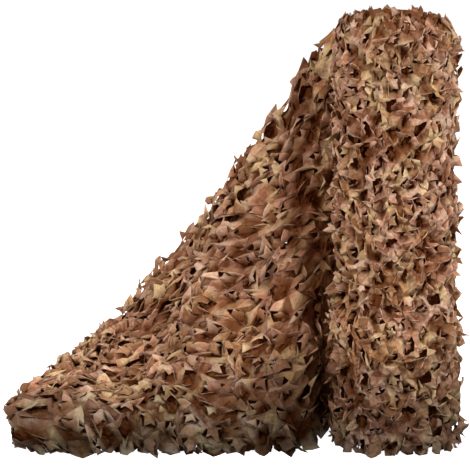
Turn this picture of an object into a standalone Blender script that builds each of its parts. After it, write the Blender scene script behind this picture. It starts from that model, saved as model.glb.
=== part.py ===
"""A roll of die-cut camouflage netting that stands on end, with its loose end fallen to one side.

The netting is one long strip of light cloth, 1.5 m wide, slit all over and pulled open into bands
and leaves. It is wound without a core and stands upright. The outer turn leaves the roll at the
back left, bulges forward, and flops over backwards until it lies on the floor at the left.

Two solids:
  net_roll  the wound body: spiral outline with its one step, leafy side, spiral turns on top
  net_tail  the loose end: one thin slit sheet on its folds, its gaps cut at a coarser pitch

Metres, +Z up. The origin is on the floor, on the axis of the roll. The sheet falls towards -X.
"""
import math

import bpy
import numpy as np

# ---- driving dimensions ----------------------------------------------------------------------
NET_WIDTH = 1.50          # selvedge to selvedge, so the height of the standing roll
CLOTH = 0.003             # thickness of the slit cloth with its curled lips
SEAT_GAP = 0.0004         # between the roll and the start of the loose end
SEED = 11

# The roll
TURN_RADIUS = 0.214       # outer radius just past the place where the loose end leaves
TURN_STEP = 0.013         # the last turn adds this much, and ends in a step of this height
LEAVE_ANGLE = math.radians(125)   # where the last turn ends, counterclockwise from +X
LEAN = -0.0087            # the roll leans by this much in X for each metre of height
SIDES = 48                # columns round the roll: half the leaf pitch each
SIDE_ROWS = 50            # rows up the side: half the leaf pitch each
BASE_FLAT = 0.97          # flat base, as a share of the outer radius
BASE_INNER = 0.45         # an inner ring of the base, as a share of the outer radius
BASE_ROUND = 0.010        # height of the rounding above the base
FOOT_FLARE = 0.006        # the foot is wider, where the weight spreads the turns
FOOT_HEIGHT = 0.12        # the flare has faded out at about this height
SHOULDER_DROP = 0.075     # the upper edge starts to droop this far under the top
SHOULDER_IN = 0.11        # the droop takes this share off the radius
TOP_RIM = 0.006           # the side ends this far under the top
TIP_OUT = 0.012           # leaf tips stand out of the mean side
PIT_IN = 0.018            # gaps between leaves are this deep
BULGE = 0.005             # the turns bulge and sink slowly up the side
BULGE_LENGTH = 0.90       # height from one bulge to the next
SMOOTH_COLUMNS = 3        # columns beside the step that carry no leaves

# The top of the roll: the slit edges of the turns
TOP_RINGS = 9
TOP_OUTER = 0.84          # radius of the outermost ring, as a share of the outer radius
TOP_INNER = 0.12          # radius of the innermost ring, as a share of the outer radius
TOP_CALM = 0.30           # the turns flatten out inside this share of the radius
TURN_PITCH = 0.26         # distance between the main turns, as a share of the outer radius
TURN_HEIGHT = 0.014       # the turns stand up and sink by this much
TOP_DISH = 0.020          # the middle of the top lies lower
TOP_LOFT = 0.006          # the slit edges of the turns rise above the selvedge by this much

# The loose end
CELLS_ALONG = 13          # slit cells along the sheet
CELLS_ACROSS = 12         # slit cells from selvedge to selvedge
HOLE_SHARE = 0.60         # size of a gap in its cell
HOLE_TWIST = 0.26         # a gap turns this far towards its neighbour, which makes the bands wave
LIP = 0.013               # a gap's lips curl out of the sheet
CREASE = 0.008            # the bands rise and fall at random
EDGE_NOTCH = 0.45         # depth of the notches in a free edge, as a share of half a cell
FLOOR_CLEAR = 0.0016      # the lower selvedge stands this far up, half the cloth
RIDGE_START = 0.35        # height of the ridge point where the sheet is still upright
TOP_START = 0.02          # the sheet leaves the roll this far under its top
SEAT_STEPS = (SEAT_GAP, 0.030, 0.060)   # sections that still run straight on from the last turn

# Sections of the loose end, from the roll to the cut end. bottom is where the lower selvedge
# stands, ridge is the crest of its standing edge, top is the upper selvedge, and sag is how far
# the sheet hangs below a straight line from ridge to top.
SECTION_COLUMNS = ("bottom_x", "bottom_y", "ridge_x", "ridge_y", "ridge_z",
                   "top_x", "top_y", "top_z", "sag")
SECTIONS = (
    (-0.250, 0.118, -0.254, 0.116, 0.320, -0.258, 0.195, 1.425, -0.010),
    (-0.302, -0.040, -0.316, -0.020, 0.290, -0.308, 0.245, 1.375, -0.020),
    (-0.362, -0.150, -0.378, -0.120, 0.220, -0.396, 0.320, 1.210, 0.000),
    (-0.500, -0.172, -0.505, -0.130, 0.175, -0.495, 0.430, 1.030, 0.030),
    (-0.660, -0.172, -0.662, -0.125, 0.152, -0.630, 0.570, 0.865, 0.060),
    (-0.840, -0.172, -0.845, -0.120, 0.142, -0.800, 0.755, 0.625, 0.090),
    (-1.020, -0.175, -1.035, -0.115, 0.138, -0.975, 0.960, 0.380, 0.095),
    (-1.170, -0.185, -1.230, -0.105, 0.136, -1.110, 1.110, 0.235, 0.060),
    (-1.250, -0.195, -1.372, -0.085, 0.136, -1.200, 1.195, 0.156, -0.008),
    (-1.290, -0.160, -1.330, -0.030, 0.012, -1.235, 1.190, 0.014, 0.000),
)

# Soft folds that run across the loose end: place along it, slant over the whole width and half
# width, all as shares of its length, and height above the sheet.
FOLD_COLUMNS = ("along", "slant", "half_width", "height")
FOLDS = (
    (0.30, 0.22, 0.050, 0.022),
    (0.44, 0.30, 0.060, -0.020),
    (0.60, 0.26, 0.055, 0.024),
    (0.76, 0.20, 0.060, -0.018),
)

SAND = (0.44, 0.29, 0.17, 1.0)
BROWN = (0.33, 0.19, 0.11, 1.0)


def smooth_step(low, high, value):
    """0 below low, 1 above high, and a smooth rise between them."""
    share = np.clip((value - low) / (high - low), 0.0, 1.0)
    return share * share * (3.0 - 2.0 * share)


def spline(points, places):
    """Smooth curve through the points, read at places counted in points, along the first axis."""
    last = len(points) - 1
    start = np.clip(np.floor(places).astype(int), 0, last - 1)
    share = (places - start).reshape((-1,) + (1,) * (points.ndim - 1))
    before = points[np.clip(start - 1, 0, last)]
    here, after = points[start], points[start + 1]
    beyond = points[np.clip(start + 2, 0, last)]
    return 0.5 * (2.0 * here + (after - before) * share
                  + (2.0 * before - 5.0 * here + 4.0 * after - beyond) * share ** 2
                  + (3.0 * here - before - 3.0 * after + beyond) * share ** 3)


def even_places(points, count):
    """Places that divide the curve through the points into count - 1 equal lengths."""
    fine = np.linspace(0.0, len(points) - 1.0, 40 * len(points))
    steps = np.linalg.norm(np.diff(spline(points, fine), axis=0), axis=-1)
    travelled = np.concatenate(([0.0], np.cumsum(steps)))
    return np.interp(np.linspace(0.0, travelled[-1], count), travelled, fine)


def make_object(name, vertices, faces, colour, collection):
    """Mesh object with its own cloth material, in the given collection."""
    mesh = bpy.data.meshes.new(name)
    mesh.from_pydata(vertices.tolist(), [], faces)
    mesh.validate()
    material = bpy.data.materials.new(name + "_cloth")
    material.use_nodes = True
    shader = material.node_tree.nodes["Principled BSDF"]
    shader.inputs["Base Color"].default_value = colour
    shader.inputs["Roughness"].default_value = 0.85
    shader.inputs["Metallic"].default_value = 0.0
    mesh.materials.append(material)
    thing = bpy.data.objects.new(name, mesh)
    collection.objects.link(thing)
    return thing


# ---- the roll --------------------------------------------------------------------------------
def roll_point(turn, radius_share, height):
    """Point of the roll: turn is 0 to 1 round it from the step, radius_share 1 is the outside."""
    angle = LEAVE_ANGLE + 2.0 * math.pi * turn
    radius = radius_share * (TURN_RADIUS + TURN_STEP * turn)
    return np.stack(np.broadcast_arrays(radius * np.cos(angle) + LEAN * height,
                                        radius * np.sin(angle), height), axis=-1)


def leaf_relief(rng):
    """Heights of the side: leaf tips and pits by turns, none beside the step."""
    column, row = np.meshgrid(np.arange(SIDES + 1), np.arange(SIDE_ROWS), indexing="ij")
    tip = (column + row) % 2 == 0
    size = rng.uniform(0.35, 1.0, tip.shape)
    relief = np.where(tip, TIP_OUT * size, -PIT_IN * size)
    from_step = np.minimum(column, SIDES - column)
    return relief * np.clip((from_step - SMOOTH_COLUMNS + 1) / 2.0, 0.0, 1.0)


def foot_flare(height):
    """Share of the radius that the spread foot adds at a height."""
    return FOOT_FLARE / TURN_RADIUS * np.exp(-height / FOOT_HEIGHT)


def side_share(height):
    """Share of the radius at a height: less where the upper edge droops, more at the foot."""
    drop = np.clip((height - (NET_WIDTH - SHOULDER_DROP)) / SHOULDER_DROP, 0.0, 1.0)
    return 1.0 - SHOULDER_IN * drop ** 2 + foot_flare(height)


def roll_rows(rng):
    """Closed stack of rings: flat base, rounded foot, leafy side, shoulder, spiral top."""
    turn = np.linspace(0.0, 1.0, SIDES + 1)
    rings = [roll_point(turn, share, 0.0) for share in (BASE_INNER, BASE_FLAT)]

    heights = np.linspace(BASE_ROUND, NET_WIDTH - TOP_RIM, SIDE_ROWS)
    relief = leaf_relief(rng)
    relief[:, 0] *= 0.3
    for row, height in enumerate(heights):
        share = side_share(height) + relief[:, row] / TURN_RADIUS
        wave = (BULGE * np.sin(2.0 * math.pi * (height / BULGE_LENGTH + turn))
                * np.sin(math.pi * turn))
        rings.append(roll_point(turn, share + wave / TURN_RADIUS, height))

    for share in np.linspace(TOP_OUTER, TOP_INNER, TOP_RINGS):
        phase = 2.0 * math.pi * (share / TURN_PITCH - turn)
        uneven = rng.uniform(-0.5, 0.5, SIDES + 1)
        height = (NET_WIDTH + TOP_LOFT - TOP_DISH * (1.0 - share)
                  + TURN_HEIGHT * (np.cos(phase) + uneven) * min(1.0, share / TOP_CALM))
        rings.append(roll_point(turn, share, height))
    return np.array(rings)


def build_roll(collection):
    """The wound body as one closed solid: rings joined from tip to tip, its ends closed by fans."""
    rings = roll_rows(np.random.default_rng(SEED))
    count, columns = rings.shape[:2]
    base = np.zeros((1, 3))
    top = rings[-1].mean(axis=0, keepdims=True)
    vertices = np.concatenate([rings.reshape(-1, 3), base, top])
    base_index, top_index = len(vertices) - 2, len(vertices) - 1

    faces = []
    for column in range(columns):
        beside = (column + 1) % columns
        for row in range(count - 1):
            low, high = row * columns, (row + 1) * columns
            corners = [low + column, low + beside, high + beside, high + column]
            if (column + row) % 2:
                corners = corners[1:] + corners[:1]
            faces.append((corners[0], corners[1], corners[2]))
            faces.append((corners[0], corners[2], corners[3]))
        faces.append((base_index, beside, column))
        last = (count - 1) * columns
        faces.append((top_index, last + column, last + beside))
    return make_object("net_roll", vertices, faces, BROWN, collection)


# ---- the loose end ---------------------------------------------------------------------------
def section_points():
    """Four points across the width for each section: foot, ridge, middle and upper selvedge."""
    mid_step = 1.0 - 0.5 * TURN_STEP / (TURN_RADIUS + TURN_STEP)
    onward = np.array([-math.sin(LEAVE_ANGLE), math.cos(LEAVE_ANGLE), 0.0])
    upright = (FLOOR_CLEAR, RIDGE_START, 0.5 * (RIDGE_START + NET_WIDTH), NET_WIDTH - TOP_START)
    seat = np.array([roll_point(1.0, mid_step + foot_flare(height), height) for height in upright])
    sections = [seat + onward * step for step in SEAT_STEPS]
    for row in SECTIONS:
        part = dict(zip(SECTION_COLUMNS, row))
        foot = np.array([part["bottom_x"], part["bottom_y"], FLOOR_CLEAR])
        ridge = np.array([part["ridge_x"], part["ridge_y"], part["ridge_z"]])
        top = np.array([part["top_x"], part["top_y"], part["top_z"]])
        middle = 0.5 * (ridge + top) - np.array([0.0, 0.0, part["sag"]])
        sections.append([foot, ridge, middle, top])
    return np.array(sections)


def loose_end_grid(along, across):
    """Points of the loose end on an even grid, and the sheet's normal at each of them."""
    sections = section_points()
    curves = np.array([spline(section, even_places(section, across)) for section in sections])
    middle = curves[:, across // 2]
    places = even_places(middle, along)
    points = spline(curves, places)
    run = np.gradient(points, axis=0)
    rise = np.gradient(points, axis=1)
    normals = np.cross(run, rise)
    normals /= np.linalg.norm(normals, axis=-1, keepdims=True)
    return points, normals


def fold_height(along, across):
    """Sum of the soft folds at a place given by two shares of the sheet."""
    height = np.zeros_like(along)
    for row in FOLDS:
        fold = dict(zip(FOLD_COLUMNS, row))
        centre = fold["along"] + fold["slant"] * (0.5 - across)
        height += fold["height"] * np.exp(-((along - centre) / fold["half_width"]) ** 2)
    clear = smooth_step(0.12, 0.22, along) * smooth_step(0.06, 0.25, across)
    return height * clear * (1.0 - smooth_step(0.85, 0.95, along))


def sheet_mesh(rng):
    """Slit sheet: diamond cells by turns, each a ring of four quads round its twisted gap."""
    along, across = 2 * CELLS_ALONG + 1, 2 * CELLS_ACROSS + 1
    grid, normals = loose_end_grid(along, across)
    share_along, share_across = np.meshgrid(np.linspace(0, 1, along), np.linspace(0, 1, across),
                                            indexing="ij")
    calm = smooth_step(0.10, 0.20, share_along) * smooth_step(0.0, 0.10, share_across)
    lift = fold_height(share_along, share_across)
    lift = lift + CREASE * rng.uniform(-1.0, 1.0, lift.shape) * calm
    grid = grid + normals * lift[..., None]
    grid[..., 2] = np.maximum(grid[..., 2], FLOOR_CLEAR)

    vertices = [tuple(point) for point in grid.reshape(-1, 3)]
    faces = []

    def at(i, j):
        """Index of a grid point."""
        return i * across + j

    def notch(i, j, inward_i, inward_j):
        """Pull an edge point towards the sheet, so that a free edge is toothed."""
        depth = EDGE_NOTCH * rng.uniform(0.5, 1.3)
        moved = (1.0 - depth) * grid[i, j] + depth * grid[i + inward_i, j + inward_j]
        vertices[at(i, j)] = tuple(moved)

    for i in range(along):
        for j in range(across):
            if (i + j) % 2 == 0:
                continue
            if j == 0:
                faces += [(at(i - 1, j), at(i, j), at(i, 1)), (at(i, j), at(i + 1, j), at(i, 1))]
            elif j == across - 1:
                notch(i, j, 0, -1)
                faces += [(at(i, j), at(i - 1, j), at(i, j - 1)), (at(i + 1, j), at(i, j), at(i, j - 1))]
            elif i == 0:
                faces += [(at(i, j), at(i, j - 1), at(1, j)), (at(i, j + 1), at(i, j), at(1, j))]
            elif i == along - 1:
                notch(i, j, -1, 0)
                faces += [(at(i, j - 1), at(i, j), at(i - 1, j)), (at(i, j), at(i, j + 1), at(i - 1, j))]
            else:
                corners = [(i - 1, j), (i, j - 1), (i + 1, j), (i, j + 1)]
                curl = LIP * rng.uniform(0.4, 1.0) * calm[i, j]
                first = len(vertices)
                for k, corner in enumerate(corners):
                    follower = corners[(k + 1) % 4]
                    reach = ((1.0 - HOLE_TWIST) * grid[corner] + HOLE_TWIST * grid[follower])
                    lip = curl if k % 2 == 0 else -curl
                    point = grid[i, j] + HOLE_SHARE * (reach - grid[i, j]) + normals[i, j] * lip
                    point[2] = max(point[2], FLOOR_CLEAR)
                    vertices.append(tuple(point))
                for k, corner in enumerate(corners):
                    after = (k + 1) % 4
                    faces.append((at(*corner), at(*corners[after]), first + after, first + k))
    return np.array(vertices), faces


def drop_unused(vertices, faces):
    """Leave out the grid points that carry a gap and so belong to no face."""
    used = sorted({index for face in faces for index in face})
    place = {index: new for new, index in enumerate(used)}
    return vertices[used], [tuple(place[index] for index in face) for face in faces]


def build_tail(collection):
    """The loose end as one thin solid: the slit sheet given its thickness."""
    vertices, faces = drop_unused(*sheet_mesh(np.random.default_rng(SEED + 1)))
    tail = make_object("net_tail", vertices, faces, SAND, collection)
    solid = tail.modifiers.new("cloth thickness", "SOLIDIFY")
    solid.thickness = CLOTH
    solid.offset = 0.0
    solid.use_even_offset = False
    return tail


def main():
    """Clear the scene and build the two solids."""
    for thing in list(bpy.data.objects):
        bpy.data.objects.remove(thing)
    collection = bpy.data.collections.new("camouflage_netting")
    bpy.context.scene.collection.children.link(collection)
    build_roll(collection)
    build_tail(collection)


main()
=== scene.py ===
"""Looks of a standing roll of die-cut camouflage netting, with its loose end fallen to one side.

The netting is one printed strip, slit all over and pulled open. SlitPattern works the slit cloth
out flat, as whole arrays: bands, gaps, and the leaves that curl out of the gaps. WoundSide,
LooseEnd and WoundTop then carry the flat cloth onto the shapes in which the strip stands and lies.
Metres, +Z up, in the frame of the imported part.
"""
from __future__ import annotations

import logging
import math
from dataclasses import dataclass
from enum import Enum

import bpy
import numpy as np
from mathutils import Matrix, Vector


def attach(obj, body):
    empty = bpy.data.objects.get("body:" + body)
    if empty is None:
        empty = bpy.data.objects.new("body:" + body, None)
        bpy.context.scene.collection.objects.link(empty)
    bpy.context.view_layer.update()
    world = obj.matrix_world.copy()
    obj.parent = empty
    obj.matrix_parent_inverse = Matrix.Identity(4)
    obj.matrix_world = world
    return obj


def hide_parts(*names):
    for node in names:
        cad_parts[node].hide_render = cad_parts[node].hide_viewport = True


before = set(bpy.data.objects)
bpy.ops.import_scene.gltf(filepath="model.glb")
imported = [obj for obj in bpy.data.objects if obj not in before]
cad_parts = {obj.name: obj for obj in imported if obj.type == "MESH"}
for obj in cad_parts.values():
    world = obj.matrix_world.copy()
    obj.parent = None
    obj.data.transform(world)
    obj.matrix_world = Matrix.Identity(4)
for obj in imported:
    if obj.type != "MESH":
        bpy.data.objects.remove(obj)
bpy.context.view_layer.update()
LOG = logging.getLogger("netting")

# ---- sizes shared with the solids ------------------------------------------------------------
NET_WIDTH = 1.50          # selvedge to selvedge, so the height of the standing roll
TURN_RADIUS = 0.214       # outer radius just past the place where the loose end leaves
TURN_STEP = 0.013         # the last turn adds this much
LEAVE_ANGLE = math.radians(125)   # where the last turn ends, counterclockwise from +X
LEAN = -0.0087            # the roll leans by this much in X for each metre of height
SHOULDER_DROP = 0.075     # the upper edge starts to droop this far under the top
SHOULDER_IN = 0.11        # the droop takes this share off the radius
FOOT_FLARE = 0.006        # the foot is wider, where the weight spreads the turns
FOOT_HEIGHT = 0.12        # the flare has faded out at about this height
RIDGE_START = 0.35        # height of the ridge point where the sheet is still upright
TOP_START = 0.02          # the sheet leaves the roll this far under its top
FLOOR_CLEAR = 0.0016      # the lower selvedge stands this far up
SEAT_STEPS = (0.0004, 0.030, 0.060)   # sections that run straight on from the last turn

# Sections of the loose end, from the roll to the cut edge: its foot, the ridge over the standing
# edge, its upper selvedge, and how far the cloth between the last two sags.
SECTION_COLUMNS = ("bottom_x", "bottom_y", "ridge_x", "ridge_y", "ridge_z",
                   "top_x", "top_y", "top_z", "sag")
SECTIONS = (
    (-0.250, 0.118, -0.254, 0.116, 0.320, -0.258, 0.195, 1.425, -0.010),
    (-0.302, -0.040, -0.316, -0.020, 0.290, -0.308, 0.245, 1.375, -0.020),
    (-0.362, -0.150, -0.378, -0.120, 0.220, -0.396, 0.320, 1.210, 0.000),
    (-0.500, -0.172, -0.505, -0.130, 0.175, -0.495, 0.430, 1.030, 0.030),
    (-0.660, -0.172, -0.662, -0.125, 0.152, -0.630, 0.570, 0.865, 0.060),
    (-0.840, -0.172, -0.845, -0.120, 0.142, -0.800, 0.755, 0.625, 0.090),
    (-1.020, -0.175, -1.035, -0.115, 0.138, -0.975, 0.960, 0.380, 0.095),
    (-1.170, -0.185, -1.230, -0.105, 0.136, -1.110, 1.110, 0.235, 0.060),
    (-1.250, -0.195, -1.372, -0.085, 0.136, -1.200, 1.195, 0.156, -0.008),
    (-1.290, -0.160, -1.330, -0.030, 0.012, -1.235, 1.190, 0.014, 0.000),
)

# Soft folds across the loose end: place along it and slant as shares of its length, half width
# as a share too, and height.
FOLD_COLUMNS = ("along", "slant", "half_width", "height")
FOLDS = (
    (0.30, 0.22, 0.050, 0.022),
    (0.44, 0.30, 0.060, -0.020),
    (0.60, 0.26, 0.055, 0.024),
    (0.76, 0.20, 0.060, -0.018),
)

# ---- sizes of the dressed netting alone ------------------------------------------------------
TURN_LENGTH = 2.0 * math.pi * (TURN_RADIUS + 0.5 * TURN_STEP)   # of the outer turn
FLOOR_TOUCH = 0.0012      # no cloth lies lower
FLOOR_SPREAD = 0.8        # a leaf that reaches below the floor spreads out by this share of it
TOP_SLOPE = 0.008         # the roll's top falls by twice this much from its -X to its +X side
CURVE_STEPS = 40          # steps between two points of a curve when its length is measured

# Painted shade on cloth that lies low between folds, as seen from the front, and how dark it is.
SHADED_HOLLOW_COLUMNS = ("x", "z", "half_width", "half_height", "share")
SHADED_HOLLOWS = (
    (-0.370, 0.210, 0.130, 0.160, 1.00),
    (-0.480, 0.600, 0.110, 0.150, 0.45),
    (-0.720, 0.330, 0.220, 0.110, 0.40),
    (-0.850, 0.060, 0.150, 0.085, 0.85),
    (-1.120, 0.055, 0.080, 0.065, 0.45),
)
SHADED_HOLLOW_FADE = (0.4, 1.0)  # a hollow's painted shade fades out between these shares of its half sizes

# Painted shade in the nook between the roll and the loose end.
NOOK_REACH = 0.23         # it reaches this far out from the roll
NOOK_FOOT = 0.25          # and this much further at the foot
NOOK_FOOT_FADE = (0.12, 0.50)     # heights between which the foot's reach fades out
NOOK_FADE = (0.25, 1.0)   # the nook fades out between these shares of its reach
NOOK_TOP_FADE = (1.30, 1.44)      # and between these heights
NOOK_RIM = 0.55           # leaves right beside the roll lose this share of the painted shade
NOOK_RIM_FADE = (0.04, 0.15)      # distances from the roll between which that fades out


def smooth_step(low: float, high: float, value: np.ndarray) -> np.ndarray:
    """0 below low, 1 above high, and a smooth rise between them."""
    share = np.clip((value - low) / (high - low), 0.0, 1.0)
    return share * share * (3.0 - 2.0 * share)


def spline(points: np.ndarray, places: np.ndarray) -> np.ndarray:
    """Catmull-Rom curve through the points along the first axis.

    Args:
        points: Array whose first axis runs along the curve.
        places: Where to read it, counted in points.

    Returns:
        One entry for each place.
    """
    last = len(points) - 1
    start = np.clip(np.floor(places).astype(int), 0, last - 1)
    share = (places - start).reshape((-1,) + (1,) * (points.ndim - 1))
    before = points[np.clip(start - 1, 0, last)]
    here, after = points[start], points[start + 1]
    beyond = points[np.clip(start + 2, 0, last)]
    return 0.5 * (2.0 * here + (after - before) * share
                  + (2.0 * before - 5.0 * here + 4.0 * after - beyond) * share ** 2
                  + (3.0 * here - before - 3.0 * after + beyond) * share ** 3)


def even_places(points: np.ndarray, count: int) -> np.ndarray:
    """Places that divide the curve through the points into equal lengths.

    Args:
        points: The points.
        count: How many places, with both ends.

    Returns:
        Places counted in points.
    """
    fine = np.linspace(0.0, len(points) - 1.0, CURVE_STEPS * len(points))
    steps = np.linalg.norm(np.diff(spline(points, fine), axis=0), axis=-1)
    travelled = np.concatenate(([0.0], np.cumsum(steps)))
    return np.interp(np.linspace(0.0, travelled[-1], count), travelled, fine)


# ---- the flat cloth --------------------------------------------------------------------------
@dataclass
class FlatNet:
    """Slit cloth worked out flat.

    points holds distance along the strip, height across it and lift out of it, a row for each
    vertex. edge is 1 for a vertex on a cut edge and 0 inside. tone is a random number for each
    quad, the same all over a leaf.
    """
    points: np.ndarray
    quads: np.ndarray
    edge: np.ndarray
    tone: np.ndarray

    @classmethod
    def join(cls, parts: list["FlatNet"]) -> "FlatNet":
        """One net of several, which share no points.

        Args:
            parts: The nets.

        Returns:
            A net with the points of each after those of the one before it.
        """
        starts = np.cumsum([0] + [len(part.points) for part in parts[:-1]])
        return cls(np.concatenate([part.points for part in parts]),
                   np.concatenate([part.quads + start for part, start in zip(parts, starts)]),
                   np.concatenate([part.edge for part in parts]),
                   np.concatenate([part.tone for part in parts]))


@dataclass(frozen=True)
class LeafCurl:
    """How the leaves of a layer stand: share that points outwards, ranges of angles, and outline.

    kick is the slope at the hinge and curl how far it turns towards the far edge, in radians, and
    twist the most that a leaf is wrung. lobes are the lengths of the lines from the hinge to the
    far edge, waist the widths of the four rows, and rib the height of the fold along the middle,
    as a share of the length.
    """
    out_share: float = 0.55
    kick: tuple[float, float] = (0.25, 1.05)
    curl: tuple[float, float] = (-0.9, 0.9)
    twist: float = 0.45
    lobes: tuple[float, ...] = (1.05, 0.86, 1.30, 0.86, 1.05)
    waist: tuple[float, ...] = (1.0, 0.84, 0.98, 1.08)
    rib: float = 0.06


EVEN_LOBES = (1.0, 1.0, 1.0, 1.0, 1.0)
SHORT_LOBES = (1.0, 1.0, 1.0)
STRAIGHT = (1.0, 1.0, 1.0, 1.0)
BORDER = LeafCurl(0.7, (0.05, 0.55), (-0.5, 0.4), 0.35, lobes=EVEN_LOBES, waist=STRAIGHT)
FOLDED_BACK = LeafCurl(1.0, (0.25, 0.90), (-1.3, -0.2), 0.45, lobes=SHORT_LOBES,
                       waist=STRAIGHT, rib=0.14)
FOLDED_FLAT = LeafCurl(1.0, (0.15, 0.70), (-0.6, -0.1), 0.45, lobes=SHORT_LOBES,
                       waist=STRAIGHT, rib=0.10)


@dataclass(frozen=True)
class SlitPattern:
    """Repeat of the die: cells in columns, every other column half a cell higher.

    Each cell is a ring of cloth round a pointed gap, and a leaf that was cut out of the gap and
    still hangs in it by one side. The rings of neighbours share their outer points, so that they
    make wavy bands that meet in three-pointed stars. A pair of numbers is the range of a random
    size.
    """
    column: float = 0.0545    # from one column of cells to the next
    rise: float = 0.077       # from one cell to the next in a column
    honeycomb: float = 0.0085     # junctions are pushed this far left and right in turn
    sway: float = 0.0065      # and at random by up to this much in the cloth
    lift: float = 0.007       # and by this much out of it
    gap_long: tuple[float, float] = (0.029, 0.041)    # half length of a gap
    gap_wide: tuple[float, float] = (0.015, 0.028)    # depth of the side that was cut free
    gap_flat: tuple[float, float] = (0.004, 0.013)    # depth of the side where the leaf hangs
    gap_point: float = 0.35   # the cut side has a point, longer by up to this share
    tilt: float = 0.0165      # one side of a gap stands up by this much, the other sinks
    tilt_spread: float = 0.85     # spread of the direction of that tilt, in radians
    crown: float = 0.003      # the bands bulge at random by about this much
    leaf_length: tuple[float, float] = (0.024, 0.044)     # of the leaves that fold back
    tip_wide: tuple[float, float] = (0.15, 0.75)      # width of their tips, as a share
    tip_start: tuple[float, float] = (0.45, 0.95)     # length of their flanks, as a share
    folded: tuple[tuple[int, ...], ...] = ((1, 3, 5), (5, 6, 8), (9, 11, 0))  # rim points each
    wave: float = 0.006       # height of the slow unevenness
    border_height: tuple[float, float] = (0.6, 1.25)  # of the upper border's leaves, half cells
    foot_height: tuple[float, float] = (1.0, 1.6)     # of the lower border's leaves, half cells
    curl: LeafCurl = LeafCurl()
    back_curl: LeafCurl = FOLDED_BACK
    seed: int = 5

    RING = 12                 # points round a gap
    SECOND_TIP = 6            # place in the ring, counted from the first tip
    POINT = 3                 # middle of the side between the tips that was cut free
    TONES = 3                 # stretches of a ring that differ in tone
    LEAF_ROWS = (0.0, 0.34, 0.68, 1.0)    # shares of a leaf's length at which it bends
    TIPS = (3, 4, 5, 6, 7)    # places in the ring where a gap's first tip can lie, and how often
    TIP_ODDS = (0.08, 0.20, 0.36, 0.26, 0.10)
    TURN_ODDS = (0.62, 0.38)  # how often a leaf is cut free on the one and on the other side
    FLANK = (0.82, 1.05)      # reach of that side beside its point
    GAP_LIMIT = 0.86          # a gap goes this share of the way to its cell's edge at most
    TILT_TURN = math.radians(90)      # middle of the tilt's direction: up the strip's width
    TILT_RANGE = (0.45, 1.25) # random factors of the tilt and the crown
    CROWN_RANGE = (-0.6, 1.2)
    INWARD = -0.75            # leaves that point inwards rise by this share
    LEAST_CURL = 0.05
    SWING = 0.75              # folded leaves turn by up to this much, in radians
    BORDER_LEAN = 0.4         # border leaves lean by up to this share of a column
    TIP_WIDTHS = (0.42, 0.30, 0.0, 0.30, 0.42)    # far edge of an upper border leaf
    TIP_HEIGHTS = (0.55, 0.78, 1.0, 0.78, 0.55)
    FOOT_WIDTH = 1.2          # and of a lower one
    FOOT_HEIGHTS = (0.62, 0.82, 1.0, 0.82, 0.62)
    WAVES = 6
    WAVE_LENGTHS = (0.14, 0.42)

    @staticmethod
    def level_start(columns: int, steps: int) -> int:
        """Index among the outer points of the first that is the middle of a level side."""
        return (columns + 1) * (2 * steps + 1)

    def outer_points(self, rng: np.random.Generator, columns: int, steps: int
                     ) -> tuple[np.ndarray, np.ndarray]:
        """Shared outer points of the cells and, for each cell, the twelve that go round it.

        Junctions stand on a grid of half cells, pushed left and right in turn into a honeycomb, and
        sway at random. Between them stands the middle of each side, bowed at random.

        Args:
            rng: Source of the random numbers.
            columns: Number of columns of cells.
            steps: Number of half cells across the strip.

        Returns:
            Points of shape (n, 3), and indices of shape (cells, 12), counterclockwise.
        """
        line, step = np.meshgrid(np.arange(columns + 1), np.arange(steps + 1), indexing="ij")
        push = np.where((line + step) % 2 == 0, self.honeycomb, -self.honeycomb)
        junction = np.stack([line * self.column + push, step * 0.5 * self.rise,
                             np.zeros_like(push)], axis=-1)
        junction += rng.uniform(-1.0, 1.0, junction.shape) * [self.sway, self.sway, self.lift]
        upright = 0.5 * (junction[:, 1:] + junction[:, :-1])
        upright += rng.uniform(-1.0, 1.0, upright.shape) * [self.sway, 0.0, self.lift]
        level = 0.5 * (junction[1:] + junction[:-1])
        level += rng.uniform(-1.0, 1.0, level.shape) * [0.0, self.sway, self.lift]
        points = np.concatenate([part.reshape(-1, 3) for part in (junction, upright, level)])
        upright_first = (columns + 1) * (steps + 1)

        column, row = np.meshgrid(np.arange(columns), np.arange(steps // 2 + 1), indexing="ij")
        low = 2 * row + column % 2
        whole = low + 2 <= steps
        i, k = column[whole], low[whole]
        corner, side = i * (steps + 1) + k, upright_first + i * steps + k
        rail = self.level_start(columns, steps) + i * (steps + 1) + k
        next_corner, next_side = corner + steps + 1, side + steps
        around = np.stack([corner, rail, next_corner, next_side, next_corner + 1, next_side + 1,
                           next_corner + 2, rail + 2, corner + 2, side + 1, corner + 1, side], -1)
        return points, around

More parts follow.
